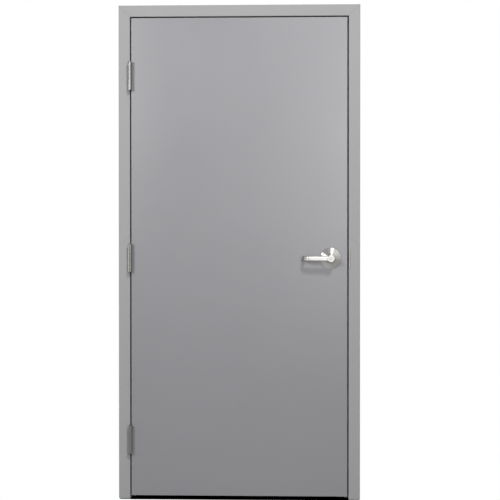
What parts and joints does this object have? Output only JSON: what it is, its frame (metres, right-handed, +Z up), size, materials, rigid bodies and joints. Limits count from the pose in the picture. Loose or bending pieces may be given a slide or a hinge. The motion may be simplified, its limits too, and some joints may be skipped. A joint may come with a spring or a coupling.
{
  "type": "fire door",
  "caption": "Flush hollow-metal fire door leaf on butt hinges in a mitred pressed-steel frame, with a lever set on round roses and a lipped strike.",
  "frame": {"origin": "middle of the underside of the hinge-side floor anchor, on the finished floor", "axes": "+X from the hinge jamb to the strike jamb, +Y from the pull face to the push face, +Z up"},
  "size_m": [1.016, 0.2138, 2.08],
  "materials": {
    "frame_steel": "satin",
    "anchor_steel": "matte",
    "strike_steel": "satin",
    "silencer_rubber": "matte",
    "leaf_steel": "satin",
    "core_board": "matte",
    "latch_steel": "satin",
    "lever_metal": "satin",
    "cylinder_brass": "satin",
    "hinge_steel": "satin"
  },
  "bodies": {
    "frame": {"hinge_jamb": "frame_steel", "strike_jamb": "frame_steel", "head": "frame_steel", "hinge_side_floor_anchor": "anchor_steel", "strike_side_floor_anchor": "anchor_steel", "hinge_side_wall_anchors": "anchor_steel", "strike_side_wall_anchors": "anchor_steel", "hinge_reinforcements": "anchor_steel", "strike_reinforcement": "anchor_steel", "strike_box": "anchor_steel", "strike_plate": "strike_steel", "silencers": "silencer_rubber", "top_hinge_frame_leaf": "hinge_steel", "top_hinge_pin": "hinge_steel", "middle_hinge_frame_leaf": "hinge_steel", "middle_hinge_pin": "hinge_steel", "bottom_hinge_frame_leaf": "hinge_steel", "bottom_hinge_pin": "hinge_steel"},
    "leaf": {"front_face_sheet": "leaf_steel", "back_face_sheet": "leaf_steel", "core": "core_board", "lock_reinforcement": "anchor_steel", "leaf_hinge_reinforcements": "anchor_steel", "top_channel": "leaf_steel", "bottom_channel": "leaf_steel", "latch_face_plate": "latch_steel", "latch_bolt": "latch_steel", "latch_case": "latch_steel", "outside_rose": "lever_metal", "inside_rose": "lever_metal", "top_hinge_door_leaf": "hinge_steel", "middle_hinge_door_leaf": "hinge_steel", "bottom_hinge_door_leaf": "hinge_steel"},
    "lever_set": {"outside_lever": "lever_metal", "inside_lever": "lever_metal", "key_cylinder": "cylinder_brass", "spindle": "latch_steel"}
  },
  "joints": [
    {"name": "leaf_swing", "type": "hinge", "parent": "frame", "child": "leaf", "pos_m": [0.0267, -0.09208, 0], "axis": [0, 0, -1], "range_deg": [0, 170]},
    {"name": "lever_turn", "type": "hinge", "parent": "leaf", "child": "lever_set", "pos_m": [0.86875, -0.07303, 1.016], "axis": [0, -1, 0], "range_deg": [0, 45], "stiffness_Nm_per_rad": 1.2, "springref_deg": -45.84}
  ]
}
